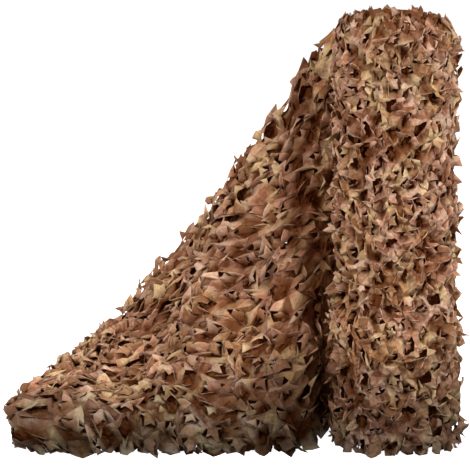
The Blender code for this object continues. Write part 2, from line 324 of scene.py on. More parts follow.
    def gaps(self, rng: np.random.Generator, outline: np.ndarray
             ) -> tuple[np.ndarray, np.ndarray]:
        """Edge of the gap in each cell, and the order in which to go round it from its first tip.

        From tip to tip the edge is a parabola on either side, a deep one where the leaf was cut
        free and a shallow one where it hangs. The deep side has a point at its middle. The radius
        at an angle a from the tips' line, of half-length l and depth w, is
        2 w / (sin a + sqrt(sin^2 a + 4 w^2 cos^2 a / l^2)), up to a share of the way to the
        cell's edge. One side of the gap is lifted and the other lowered, so that the bands lean.

        Args:
            rng: Source of the random numbers.
            outline: Outer points of the cells, of shape (cells, 12, 3).

        Returns:
            Points of shape (cells, 12, 3) in the order of the outline, and indices of shape
            (cells, 12): tip, deep side, tip, shallow side.
        """
        cells = len(outline)
        tip = rng.choice(self.TIPS, cells, p=self.TIP_ODDS)
        turn = rng.choice((-1, 1), cells, p=self.TURN_ODDS)
        order = (tip[:, None] + np.arange(self.RING) * turn[:, None]) % self.RING
        centre = outline.mean(axis=1, keepdims=True)
        spoke = outline[..., :2] - centre[..., :2]
        reach = np.linalg.norm(spoke, axis=-1)
        angle = np.arctan2(spoke[..., 1], spoke[..., 0])
        from_tip = angle - np.take_along_axis(angle, tip[:, None], axis=1)
        deep = np.zeros((cells, self.RING), bool)
        np.put_along_axis(deep, order[:, 1:self.SECOND_TIP], True, axis=1)
        depth = np.where(deep, rng.uniform(*self.gap_wide, (cells, 1)),
                         rng.uniform(*self.gap_flat, (cells, 1)))
        half = rng.uniform(*self.gap_long, (cells, 1))
        sine, cosine = np.abs(np.sin(from_tip)), np.cos(from_tip)
        radius = 2.0 * depth / (sine + np.sqrt(sine ** 2 + (2.0 * depth * cosine / half) ** 2))
        point = np.ones((cells, self.RING))
        sharp = 1.0 + rng.uniform(0, self.gap_point, (cells, 1))
        np.put_along_axis(point, order[:, [self.POINT]], sharp, 1)
        flanks = rng.uniform(*self.FLANK, (cells, 2))
        np.put_along_axis(point, order[:, [self.POINT - 1, self.POINT + 1]], flanks, 1)
        radius = np.minimum(radius * point, self.GAP_LIMIT * reach)
        direction = spoke / reach[..., None]
        gap = np.empty_like(outline)
        gap[..., :2] = centre[..., :2] + direction * radius[..., None]
        lean = self.TILT_TURN + rng.normal(0.0, self.tilt_spread, (cells, 1))
        size = self.tilt * rng.uniform(*self.TILT_RANGE, (cells, 1))
        slope = direction[..., 0] * np.cos(lean) + direction[..., 1] * np.sin(lean)
        gap[..., 2] = centre[..., 2] + size * slope
        return gap, order

    def curled(self, rng: np.random.Generator, hinge: np.ndarray, far: np.ndarray,
               way: LeafCurl) -> np.ndarray:
        """Leaves between a hinge line and a far edge, bent along an arc.

        Along a leaf the slope starts at a kick angle k and turns evenly by a curl angle c, so the
        distance run at a share s is (sin(k + c s) - sin k) / c, and the rise is
        (cos k - cos(k + c s)) / c, both times the leaf's length. A twist lifts one side and lowers
        the other, and the middle is folded up or down.

        Args:
            rng: Source of the random numbers.
            hinge: Hinge points of shape (leaves, points, 3).
            far: Far points of the same shape.
            way: How the leaves stand.

        Returns:
            Points of shape (leaves, 4, points, 3).
        """
        leaves, points = hinge.shape[:2]
        share = np.array(self.LEAF_ROWS)[None, :, None]
        sign = np.where(rng.uniform(size=(leaves, 1, 1)) < way.out_share, 1.0, self.INWARD)
        kick = rng.uniform(*way.kick, (leaves, 1, 1))
        curl = rng.uniform(*way.curl, (leaves, 1, 1))
        curl = np.where(np.abs(curl) < self.LEAST_CURL, self.LEAST_CURL, curl)
        run = (np.sin(kick + curl * share) - np.sin(kick)) / curl
        rise = (np.cos(kick) - np.cos(kick + curl * share)) / curl
        across = (far - hinge) * np.array(way.lobes)[:, None]
        length = np.linalg.norm(across[..., :2], axis=-1)[:, None]
        leaf = hinge[:, None] + across[:, None] * run[..., None]
        middle = leaf[:, :, points // 2, None]
        waist = np.array(way.waist)[None, :, None, None]
        leaf = middle + (leaf - middle) * waist
        twist = rng.uniform(-way.twist, way.twist, (leaves, 1, 1))
        side = np.linspace(-1.0, 1.0, points)[None, None]
        fold = rng.uniform(-way.rib, way.rib, (leaves, 1, 1)) * (1.0 - np.abs(side))
        size = length.mean(axis=2, keepdims=True)
        leaf[..., 2] = (hinge[:, None, :, 2] + sign * length * rise
                        + (0.5 * twist * side + fold) * share * size)
        return leaf

    def leaf_net(self, rng: np.random.Generator, leaf: np.ndarray) -> FlatNet:
        """Net of leaves given as grids of shape (leaves, rows, points, 3).

        Every leaf has one tone, and is cut all round but at its hinge.

        Args:
            rng: Source of the random numbers.
            leaf: The grids.

        Returns:
            The net.
        """
        leaves, rows, across = leaf.shape[:3]
        index = np.arange(leaves * rows * across).reshape(leaves, rows, across)
        quads = np.stack([index[:, :-1, :-1], index[:, :-1, 1:], index[:, 1:, 1:],
                          index[:, 1:, :-1]], -1).reshape(-1, 4)
        edge = np.zeros((leaves, rows, across))
        edge[:, -1] = 1.0
        edge[:, 1:, (0, -1)] = 1.0
        tone = np.repeat(rng.uniform(size=leaves), (rows - 1) * (across - 1))
        return FlatNet(leaf.reshape(-1, 3), quads, edge.ravel(), tone)

    def folded_back(self, rng: np.random.Generator, centre: np.ndarray, rim: np.ndarray
                    ) -> np.ndarray:
        """Pointed leaves that hang on the rim of a gap and fold back over the cloth round it.

        The far edge lies outwards from the gap's centre, a leaf's length past the middle of the
        rim, shifted to one side and narrowed to a tip.

        Args:
            rng: Source of the random numbers.
            centre: Centres of the gaps, of shape (leaves, 3).
            rim: Three neighbouring rim points, of shape (leaves, 3, 3).

        Returns:
            Points of shape (leaves, 4, 3, 3).
        """
        leaves = len(rim)
        middle = rim[:, 1:2]
        out = middle - centre[:, None]
        out = out / np.linalg.norm(out[..., :2], axis=-1, keepdims=True)
        swing = rng.uniform(-self.SWING, self.SWING, (leaves, 1))
        away = np.stack([out[..., 0] * np.cos(swing) - out[..., 1] * np.sin(swing),
                         out[..., 0] * np.sin(swing) + out[..., 1] * np.cos(swing),
                         np.zeros((leaves, 1))], axis=-1)
        reach = rng.uniform(*self.leaf_length, (leaves, 1, 1))
        narrow = np.stack([rng.uniform(*self.tip_wide, leaves), np.zeros(leaves),
                           rng.uniform(*self.tip_wide, leaves)], axis=1)[..., None]
        share = np.stack([rng.uniform(*self.tip_start, leaves), np.ones(leaves),
                          rng.uniform(*self.tip_start, leaves)], axis=1)[..., None]
        far = middle + (rim - middle) * narrow + away * reach * share
        return self.curled(rng, rim, far, self.back_curl)

    def border_leaves(self, rng: np.random.Generator, outer: np.ndarray, columns: int, steps: int
                      ) -> np.ndarray:
        """Leaves in the half cells along both selvedges.

        A leaf stands on the level side of the nearest whole cell. It narrows to a tip at the upper
        selvedge, and is blunt at the lower one, so that it fills the half cell.

        Args:
            rng: Source of the random numbers.
            outer: The outer points.
            columns: Number of columns of cells.
            steps: Number of half cells across the strip.

        Returns:
            Points of shape (leaves, 4, 5, 3).
        """
        column = np.arange(columns)
        low = column[column % 2 == 1]
        high = column[(steps - column) % 2 == 1]
        i = np.concatenate([low, high])
        k = np.concatenate([np.full(len(low), 1), np.full(len(high), steps - 1)])
        upward = np.concatenate([np.full(len(low), -1.0), np.full(len(high), 1.0)])
        start, end = outer[i * (steps + 1) + k], outer[(i + 1) * (steps + 1) + k]
        middle = outer[self.level_start(columns, steps) + i * (steps + 1) + k]
        hinge = np.stack([start, 0.5 * (start + middle), middle, 0.5 * (middle + end), end], 1)
        height = 0.5 * self.rise * np.where(upward > 0, rng.uniform(*self.border_height, len(i)),
                                            rng.uniform(*self.foot_height, len(i))) * upward
        lean = rng.uniform(-self.BORDER_LEAN, self.BORDER_LEAN, len(i)) * self.column * (upward > 0)
        narrow = np.where(upward[:, None, None] > 0, np.array(self.TIP_WIDTHS)[None, :, None],
                          self.FOOT_WIDTH)
        share = np.where(upward[:, None] > 0, np.array(self.TIP_HEIGHTS)[None],
                         np.array(self.FOOT_HEIGHTS)[None])
        far = middle[:, None] + (hinge - middle[:, None]) * narrow
        far[..., 0] += lean[:, None]
        far[..., 1] += height[:, None] * share
        return self.curled(rng, hinge, far, BORDER)

    def bands(self, rng: np.random.Generator, outer: np.ndarray, around: np.ndarray,
              gap: np.ndarray) -> FlatNet:
        """The cloth between the gaps: two rows of quads round each, which bulge where they meet.

        Args:
            rng: Source of the random numbers.
            outer: The outer points.
            around: For each cell, the indices of those that go round it.
            gap: Edges of the gaps.

        Returns:
            The net, without the outer points that go round no whole cell.
        """
        middle = 0.5 * (outer[around] + gap)
        middle[..., 2] += self.crown * rng.uniform(*self.CROWN_RANGE, middle.shape[:2])
        cells = len(around)
        ring = np.arange(self.RING)
        beside = (ring + 1) % self.RING
        inner = len(outer) + np.arange(cells)[:, None] * self.RING + ring
        rim = inner + cells * self.RING
        quads = np.concatenate([
            np.stack([one, one[:, beside], other[:, beside], other], -1).reshape(-1, 4)
            for one, other in ((around, inner), (inner, rim))])
        tone = rng.uniform(size=cells * self.TONES).repeat(self.RING // self.TONES)
        points = np.concatenate([outer, middle.reshape(-1, 3), gap.reshape(-1, 3)])
        edge = np.concatenate([np.zeros(len(outer) + len(tone)), np.ones(len(tone))])
        used, index = np.unique(quads, return_inverse=True)
        return FlatNet(points[used], index.reshape(-1, 4), edge[used], np.concatenate([tone, tone]))

    def cut(self, columns: int, steps: int, border: bool = True) -> FlatNet:
        """The flat net, in the die's own sizes.

        Args:
            columns: Number of columns of cells.
            steps: Number of half cells across the strip.
            border: Whether leaves fill the half cells along the selvedges.

        Returns:
            Bands, the leaves in the gaps, those that fold back, and those of the border.
        """
        rng = np.random.default_rng(self.seed)
        outer, around = self.outer_points(rng, columns, steps)
        gap, order = self.gaps(rng, outer[around])
        parts = [self.bands(rng, outer, around, gap)]
        turned = np.take_along_axis(gap, order[..., None], axis=1)
        free, hinge = turned[:, 1:self.SECOND_TIP], turned[:, :self.SECOND_TIP:-1]
        parts.append(self.leaf_net(rng, self.curled(rng, hinge, free, self.curl)))
        centre = outer[around].mean(axis=1)
        parts += [self.leaf_net(rng, self.folded_back(rng, centre, turned[:, rim]))
                  for rim in self.folded]
        if border:
            parts.append(self.leaf_net(rng, self.border_leaves(rng, outer, columns, steps)))
        net = FlatNet.join(parts)
        net.points[:, 2] += self.waves(rng, net.points)
        return net

    def waves(self, rng: np.random.Generator, points: np.ndarray) -> np.ndarray:
        """Slow unevenness of the cloth: a sum of sine waves in random directions.

        Args:
            rng: Source of the random numbers.
            points: Flat points.

        Returns:
            A height for each point.
        """
        turn = rng.uniform(0.0, math.pi, self.WAVES)
        pace = 2.0 * math.pi / rng.uniform(*self.WAVE_LENGTHS, self.WAVES)
        phase = rng.uniform(0.0, 2.0 * math.pi, self.WAVES)
        travel = points[:, :1] * np.cos(turn) + points[:, 1:2] * np.sin(turn)
        return self.wave * 0.5 * np.sin(travel * pace + phase).sum(axis=1)


# ---- the shapes in which the strip stands and lies -------------------------------------------
@dataclass
class WoundSide:
    """A turn of the roll's side: a spiral that adds one step in a whole turn."""
    inset: float = 0.0        # how far inside the roll's outer radius the layer lies

    SEAM = (0.80, 1.0)        # shares of the turn between which the inset fades out
    FOOT_OUT = 0.017          # the foot stands out by this much
    FOOT_BEND = (0.10, 0.70)  # heights between which that fades out
    DROP_LIMIT = 1.3          # leaves past the upper edge droop on as far as this
    SHOULDER_CALM = 0.6       # leaves on the shoulder lie lower by this share
    SLOPE_START = 0.80        # share of the width at which the slope of the top starts

    def place(self, flat: np.ndarray) -> np.ndarray:
        """Carry flat points onto the roll.

        The angle is the distance along the strip over the mean radius. The radius grows by one step
        each turn, shrinks with the square of the drop at the upper edge and flares at the foot.
        What hangs below the ground spreads outwards over it. The inset is less at the foot, and
        fades out towards the place where the strip leaves the roll.

        Args:
            flat: Rows of distance along, height and lift. Distance 0 is at the step, inside it.

        Returns:
            Rows of X, Y and Z.
        """
        along, height, lift = flat.T
        turn = along / TURN_LENGTH
        angle = LEAVE_ANGLE + 2.0 * math.pi * turn
        drop = np.clip((height - (NET_WIDTH - SHOULDER_DROP)) / SHOULDER_DROP, 0.0, self.DROP_LIMIT)
        flare = FOOT_FLARE / TURN_RADIUS * np.exp(-height / FOOT_HEIGHT)
        share = 1.0 - SHOULDER_IN * drop ** 2 + flare
        lift = (lift * (1.0 - self.SHOULDER_CALM * np.minimum(drop, 1.0))
                + FLOOR_SPREAD * np.maximum(-height, 0.0))
        inset = self.inset - self.FOOT_OUT * (1.0 - smooth_step(*self.FOOT_BEND, height))
        inset *= 1.0 - smooth_step(*self.SEAM, turn)
        radius = (TURN_RADIUS + TURN_STEP * turn) * share + lift - inset
        fall = (TOP_SLOPE * (1.0 + np.cos(angle))
                * smooth_step(self.SLOPE_START * NET_WIDTH, NET_WIDTH, height))
        return np.stack([radius * np.cos(angle) + LEAN * height, radius * np.sin(angle),
                         np.maximum(height - fall, FLOOR_TOUCH)], axis=-1)


@dataclass(frozen=True)
class WoundTop:
    """Upper edges of the inner turns: a tight spiral that stands out a little, round a hollow."""
    pitch: float = 0.0135     # from turn to turn
    inner: float = 0.028      # radius of the innermost turn
    outer: float = 0.196      # radius of the outermost
    depth: float = 0.075      # how far the edges reach down between the turns
    crown: float = 0.014      # the turns near the middle stand up by this much
    hollow: float = 0.060     # depth of the hollow in the middle

    RISE = 0.008              # all the turns stand up by this much
    SHOULDER = 0.030          # the outermost sinks by this much
    SHOULDER_START = 0.70     # share of the radius at which they start to sink
    LEAST_SQUARE = 1e-6       # of the radius, for what reaches past the spiral's inner end

    def length(self) -> float:
        """Length of the spiral: the area of its ring over its pitch."""
        return math.pi * (self.outer ** 2 - self.inner ** 2) / self.pitch

    def place(self, flat: np.ndarray) -> np.ndarray:
        """Carry flat points onto the spiral.

        The ring's area inside a radius r is pitch times the length wound, so
        r = sqrt(inner^2 + pitch length / pi), and the angle is 2 pi (r - inner) / pitch.

        Args:
            flat: Rows of distance along, height and lift.

        Returns:
            Rows of X, Y and Z.
        """
        along, height, lift = flat.T
        radius = np.sqrt(np.maximum(self.inner ** 2 + self.pitch * along / math.pi,
                                    self.LEAST_SQUARE))
        angle = 2.0 * math.pi * (radius - self.inner) / self.pitch
        crown = self.crown * (1.0 - (radius / self.outer) ** 2)
        hollow = self.hollow * np.exp(-(radius / self.inner) ** 2)
        shoulder = self.SHOULDER * smooth_step(self.SHOULDER_START, 1.0, radius / self.outer)
        fall = TOP_SLOPE * (1.0 + np.cos(angle) * radius / self.outer)
        top = NET_WIDTH + self.RISE + crown - hollow - shoulder - fall
        level = top - NET_WIDTH + height
        spread = radius + lift
        return np.stack([spread * np.cos(angle) + LEAN * level, spread * np.sin(angle), level], -1)


class Face(Enum):
    """Side of the loose end on which a layer lies, as a sign along its normal."""
    FRONT = -1.0
    BACK = 1.0


@dataclass
class LooseEnd:
    """The sheet between the roll and its cut edge, read from a fine grid of its sections."""
    face: Face
    offset: float             # how far the layer lies from the middle of the sheet

    FINE_ALONG = 260          # points of the fine grid
    FINE_ACROSS = 200
    SETTLE = (0.0, 0.14)      # distances from the roll between which the offset grows
    FOOT_SPREAD = 1.5         # what reaches below the floor spreads out by this much of it
    EDGE_STRETCH = 0.6        # leaves past a selvedge keep this share of their height
    FOLD_START = (0.12, 0.22) # shares along, and across, between which the soft folds begin
    FOLD_FOOT = (0.06, 0.25)
    FOLD_END = (0.85, 0.95)   # shares along between which they end
    CUT_END = (0.86, 0.96)    # shares along between which a layer thins towards the cut edge
    CUT_LIFT = 0.35           # to this share
    TOP_END = (0.88, 0.98)    # shares across between which it thins towards the upper selvedge
    TOP_LIFT = 0.75
    END_BACK = 0.020          # the cut edge is drawn back by this share of the length
    CORNER_CUT = 0.003        # and by this much more at the floor
    CORNER_RISE = 0.09        # up to this height
    END_IN = 0.026            # cloth near the cut edge lies this far to the back
    END_BEND = (0.80, 0.92)   # shares along between which it bends back
    END_BULGE = 0.08          # but it bulges to the front round this height
    BULGE_REACH = (0.015, 0.05)       # and the bulge ends between these distances from it
    TOP_IN = 0.016            # cloth near the upper selvedge lies this far to the back
    TOP_IN_ACROSS = (0.60, 0.90)
    TOP_IN_ALONG = (0.30, 0.50)
    # The upper selvedge is drawn back at these shares along, by these shares of the width.
    TOP_BACK_PLACES = (0.0, 0.05, 0.09, 0.24, 0.32, 0.37, 0.44, 0.53, 0.60)
    TOP_BACK = (0.0, 0.008, 0.025, 0.020, 0.016, 0.018, 0.012, 0.012, 0.034)

    def __post_init__(self) -> None:
        """Work out the fine grid, its unit normals and the length along its middle.

        Every section is a curve read at equal lengths, and so is the curve from each of its points
        to those of the next section.
        """
        curves = np.array([spline(part, even_places(part, self.FINE_ACROSS))
                           for part in self.sections()])
        middle = curves[:, self.FINE_ACROSS // 2]
        self.points = spline(curves, even_places(middle, self.FINE_ALONG))
        normals = np.cross(np.gradient(self.points, axis=0), np.gradient(self.points, axis=1))
        self.normals = normals / np.linalg.norm(normals, axis=-1, keepdims=True)
        centre_line = self.points[:, self.FINE_ACROSS // 2]
        self.length = float(np.linalg.norm(np.diff(centre_line, axis=0), axis=-1).sum())

    @staticmethod
    def sections() -> np.ndarray:
        """Points of the sections.

        The first sections run straight on from the last turn of the roll, in its thickness.

        Returns:
            For each section, its foot, ridge, middle and upper selvedge.
        """
        mid_step = 1.0 - 0.5 * TURN_STEP / (TURN_RADIUS + TURN_STEP)
        onward = np.array([-math.sin(LEAVE_ANGLE), math.cos(LEAVE_ANGLE), 0.0])
        heights = np.array([FLOOR_CLEAR, RIDGE_START, 0.5 * (RIDGE_START + NET_WIDTH),
                            NET_WIDTH - TOP_START])
        radius = (TURN_RADIUS + TURN_STEP) * (mid_step + FOOT_FLARE / TURN_RADIUS
                                              * np.exp(-heights / FOOT_HEIGHT))
        seat = np.stack([radius * math.cos(LEAVE_ANGLE) + LEAN * heights,
                         radius * math.sin(LEAVE_ANGLE), heights], axis=-1)
        found = [seat + onward * step for step in SEAT_STEPS]
        for row in SECTIONS:
            part = dict(zip(SECTION_COLUMNS, row))
            ridge = np.array([part["ridge_x"], part["ridge_y"], part["ridge_z"]])
            top = np.array([part["top_x"], part["top_y"], part["top_z"]])
            middle = 0.5 * (ridge + top) - np.array([0.0, 0.0, part["sag"]])
            found.append([[part["bottom_x"], part["bottom_y"], FLOOR_CLEAR], ridge, middle, top])
        return np.array(found)

    def fold_height(self, along: np.ndarray, across: np.ndarray) -> np.ndarray:
        """Sum of the soft folds, each a bell curve round a slanting line.

        Args:
            along: Shares along the sheet.
            across: Shares across it.

        Returns:
            Heights, positive to the back. They fade out near the roll, the foot and the cut edge.
        """
        height = np.zeros_like(along)
        for row in FOLDS:
            fold = dict(zip(FOLD_COLUMNS, row))
            centre = fold["along"] + fold["slant"] * (0.5 - across)
            height += fold["height"] * np.exp(-((along - centre) / fold["half_width"]) ** 2)
        clear = smooth_step(*self.FOLD_START, along) * smooth_step(*self.FOLD_FOOT, across)
        return height * clear * (1.0 - smooth_step(*self.FOLD_END, along))

    def shares(self, along: np.ndarray, height: np.ndarray) -> tuple[np.ndarray, np.ndarray]:
        """Where flat points lie on the sheet, whose cut edge and upper selvedge are drawn back.

        Args:
            along: Distances from the roll.
            height: Heights across the strip.

        Returns:
            Shares along and across the sheet.
        """
        corner = self.CORNER_CUT * (1.0 - smooth_step(0.0, self.CORNER_RISE, height))
        share_along = np.clip(along / self.length, 0.0, 1.0) * (1.0 - self.END_BACK - corner)
        top_back = np.interp(share_along, self.TOP_BACK_PLACES, self.TOP_BACK)
        return share_along, np.clip(height, 0.0, NET_WIDTH) / NET_WIDTH * (1.0 - top_back)

    def read(self, grid: np.ndarray, share_along: np.ndarray, share_across: np.ndarray
             ) -> np.ndarray:
        """Values of a fine grid, mixed from the four grid points round each place.

        Args:
            grid: A value for each point of the fine grid.
            share_along: Shares along the sheet.
            share_across: Shares across it.

        Returns:
            A value for each place.
        """
        i = share_along * (self.FINE_ALONG - 1)
        j = share_across * (self.FINE_ACROSS - 1)
        low_i = np.clip(i.astype(int), 0, self.FINE_ALONG - 2)
        low_j = np.clip(j.astype(int), 0, self.FINE_ACROSS - 2)
        part_i, part_j = (i - low_i)[:, None], (j - low_j)[:, None]
        low = grid[low_i, low_j] * (1 - part_j) + grid[low_i, low_j + 1] * part_j
        high = grid[low_i + 1, low_j] * (1 - part_j) + grid[low_i + 1, low_j + 1] * part_j
        return low * (1 - part_i) + high * part_i

    def behind(self, flat: np.ndarray, share_along: np.ndarray, share_across: np.ndarray
               ) -> np.ndarray:
        """How far each point lies behind the middle of the sheet.

        That is the fold under it and, on the layer's own side, its lift and the layer's offset,
        which grows from nothing at the roll. Both are less near the cut edge and the upper
        selvedge, where the cloth also lies further back.

        Args:
            flat: Rows of distance along from the roll, height and lift.
            share_along: Shares along the sheet.
            share_across: Shares across it.

        Returns:
            Distances, negative to the front.
        """
        along, height, lift = flat.T
        out = lift + self.offset * smooth_step(*self.SETTLE, along)
        out += self.FOOT_SPREAD * np.maximum(-height, 0.0)
        out *= 1.0 - (1.0 - self.CUT_LIFT) * smooth_step(*self.CUT_END, share_along)
        out *= 1.0 - (1.0 - self.TOP_LIFT) * smooth_step(*self.TOP_END, share_across)
        out = self.fold_height(share_along, share_across) + self.face.value * out
        out += (self.END_IN * smooth_step(*self.END_BEND, share_along)
                * smooth_step(*self.BULGE_REACH, np.abs(height - self.END_BULGE)))
        out += (self.TOP_IN * smooth_step(*self.TOP_IN_ACROSS, share_across)
                * smooth_step(*self.TOP_IN_ALONG, share_along))
        return out

    def place(self, flat: np.ndarray) -> np.ndarray:
        """Carry flat points onto the sheet.

        Each point is read from the fine grid by its shares along and across, and moved along the
        normal. A leaf that stands past a selvedge runs straight on.

        Args:
            flat: Rows of distance along from the roll, height and lift.

        Returns:
            Rows of X, Y and Z.
        """
        along, height, _ = flat.T
        shares = self.shares(along, height)
        out = self.behind(flat, *shares)
        placed = self.read(self.points, *shares) + self.read(self.normals, *shares) * out[:, None]
        over_run = self.EDGE_STRETCH * (height - np.clip(height, 0.0, NET_WIDTH))[:, None]
        edge_rise = self.read(np.gradient(self.points, axis=1), *shares)
        placed += over_run * edge_rise / np.linalg.norm(edge_rise, axis=-1, keepdims=True)
        placed[:, 2] = np.maximum(placed[:, 2], FLOOR_TOUCH)
        return placed


def painted_nook_shade(places: np.ndarray) -> np.ndarray:
    """Share of painted shade in the nook between the roll and the loose end, from 0 to 1.

    It is 1 beside the roll and falls to 0 over a reach that widens towards the foot, and again
    towards the top. Leaves right beside the roll get less of it. The painted shade of the hollows
    lies in ovals of their own, and the larger of the two values counts.

    Args:
        places: Rows of X, Y and Z.

    Returns:
        A share for each place.
    """
    x, _, z = places.T
    beside = LEAN * z - x - TURN_RADIUS
    reach = NOOK_REACH + NOOK_FOOT * (1.0 - smooth_step(*NOOK_FOOT_FADE, z))
    nook = 1.0 - smooth_step(*NOOK_FADE, beside / reach)
    nook *= 1.0 - smooth_step(*NOOK_TOP_FADE, z)
    nook *= 1.0 - NOOK_RIM * (1.0 - smooth_step(*NOOK_RIM_FADE, beside))
    for row in SHADED_HOLLOWS:
        hollow = dict(zip(SHADED_HOLLOW_COLUMNS, row))
        away = np.hypot((x - hollow["x"]) / hollow["half_width"],
                        (z - hollow["z"]) / hollow["half_height"])
        nook = np.maximum(nook, hollow["share"] * (1.0 - smooth_step(*SHADED_HOLLOW_FADE, away)))
    return nook


# ---- finishes --------------------------------------------------------------------------------
Ink = tuple[float, float, float]
Setting = bpy.types.NodeSocket | Ink | float


def add_node(tree: bpy.types.NodeTree, kind: str, settings: dict[str | int, Setting] | None = None,
             **properties: object) -> bpy.types.Node:
    """New node in a tree.

    Args:
        tree: The node tree.
        kind: Type of the node.
        settings: For inputs of the node, a socket to link, a colour or a number.
        properties: Values for its properties, set first.

    Returns:
        The node.
    """
    node = tree.nodes.new(kind)
    for name, value in properties.items():
        setattr(node, name, value)
    for name, value in (settings or {}).items():
        if isinstance(value, bpy.types.NodeSocket):
            tree.links.new(value, node.inputs[name])
        else:
            colour = isinstance(value, tuple)
            node.inputs[name].default_value = (*value, 1.0) if colour else value
    return node


def new_group(name: str, inputs: tuple[str, ...], outputs: tuple[str, ...]
              ) -> tuple[bpy.types.NodeTree, bpy.types.Node, bpy.types.Node]:
    """Node group that takes a place and some numbers, and gives numbers.

    Args:
        name: Name of the group.
        inputs: Names of the numbers that it takes besides Place.
        outputs: Names of those that it gives.

    Returns:
        The group's tree, and its nodes for what is given and for the result.
    """
    tree = bpy.data.node_groups.new(name, "ShaderNodeTree")
    tree.interface.new_socket("Place", in_out="INPUT", socket_type="NodeSocketVector")
    for direction, names in (("INPUT", inputs), ("OUTPUT", outputs)):
        for socket in names:
            tree.interface.new_socket(socket, in_out=direction, socket_type="NodeSocketFloat")
    return tree, add_node(tree, "NodeGroupInput"), add_node(tree, "NodeGroupOutput")


class PrintGroup:
    """Node group for the printed blotches: noise in the flat cloth, cut into three inks.

    A second channel of the same noise tinges the inks, so that no two blotches are quite alike.
    """
    DETAIL = 3.0
    ROUGHNESS = 0.55
    DISTORTION = 0.6
    DARK = (0.60, 0.53)       # values between which each mask rises from 0 to 1
    LIGHT = (0.66, 0.72)
    TINGE = (0.42, 0.58)

    @classmethod
    def build(cls) -> bpy.types.NodeTree:
        """Build the group.

        Returns:
            A group from Place, Tone, Scale and Leaf Share to Dark and Light, the masks of the two
            outer inks, and to Tinge, from 0 for olive to 1 for rose.
        """
        tree, given, result = new_group("blotch_print", ("Tone", "Scale", "Leaf Share"),
                                        ("Dark", "Light", "Tinge"))
        noise = add_node(tree, "ShaderNodeTexNoise", {
            "Vector": given.outputs["Place"], "Scale": given.outputs["Scale"],
            "Detail": cls.DETAIL, "Roughness": cls.ROUGHNESS, "Distortion": cls.DISTORTION})
        mixed = add_node(tree, "ShaderNodeMath", {
            0: given.outputs["Tone"], 1: given.outputs["Leaf Share"], 2: noise.outputs["Fac"]},
            operation="MULTIPLY_ADD")
        channels = add_node(tree, "ShaderNodeSeparateColor", {"Color": noise.outputs["Color"]})
        for name, value, (low, high) in (("Dark", mixed.outputs[0], cls.DARK),
                                         ("Light", mixed.outputs[0], cls.LIGHT),
                                         ("Tinge", channels.outputs["Green"], cls.TINGE)):
            mask = add_node(tree, "ShaderNodeMapRange", {
                "Value": value, "From Min": low, "From Max": high},
                interpolation_type="SMOOTHSTEP")
            tree.links.new(mask.outputs["Result"], result.inputs[name])
        return tree


class WeaveGroup:
    """Node group for the woven cloth: crossing threads and a cloudy unevenness."""
    THREAD_SWAY = 1.5
    CLOUD_DETAIL = 4.0
    THREAD_SHARE = 0.4        # height of the threads beside that of the unevenness

    @classmethod
    def build(cls) -> bpy.types.NodeTree:
        """Build the group.

        Returns:
            A group from Place, Threads and Cloud to Shade and Height.
        """
        tree, given, result = new_group("plain_weave", ("Threads", "Cloud"), ("Shade", "Height"))
        place = given.outputs["Place"]
        warp, weft = [add_node(tree, "ShaderNodeTexWave", {
            "Vector": place, "Scale": given.outputs["Threads"], "Distortion": cls.THREAD_SWAY},
            bands_direction=direction) for direction in ("X", "Y")]
        threads = add_node(tree, "ShaderNodeMath", {
            0: warp.outputs["Fac"], 1: weft.outputs["Fac"]}, operation="MULTIPLY")
        cloud = add_node(tree, "ShaderNodeTexNoise", {
            "Vector": place, "Scale": given.outputs["Cloud"], "Detail": cls.CLOUD_DETAIL})
        total = add_node(tree, "ShaderNodeMath", {
            0: threads.outputs[0], 1: cls.THREAD_SHARE, 2: cloud.outputs["Fac"]},
            operation="MULTIPLY_ADD")
        tree.links.new(cloud.outputs["Fac"], result.inputs["Shade"])
        tree.links.new(total.outputs[0], result.inputs["Height"])
        return tree


class CrumpleGroup:
    """Node group for crumpled cloth: hollows that meet in creases."""

    @staticmethod
    def build() -> bpy.types.NodeTree:
        """Build the group.

        Returns:
            A group from Place and Scale to Height.
        """
        tree, given, result = new_group("crumple", ("Scale",), ("Height",))
        cells = add_node(tree, "ShaderNodeTexVoronoi", {
            "Vector": given.outputs["Place"], "Scale": given.outputs["Scale"]}, feature="F1")
        tree.links.new(cells.outputs["Distance"], result.inputs["Height"])
        return tree


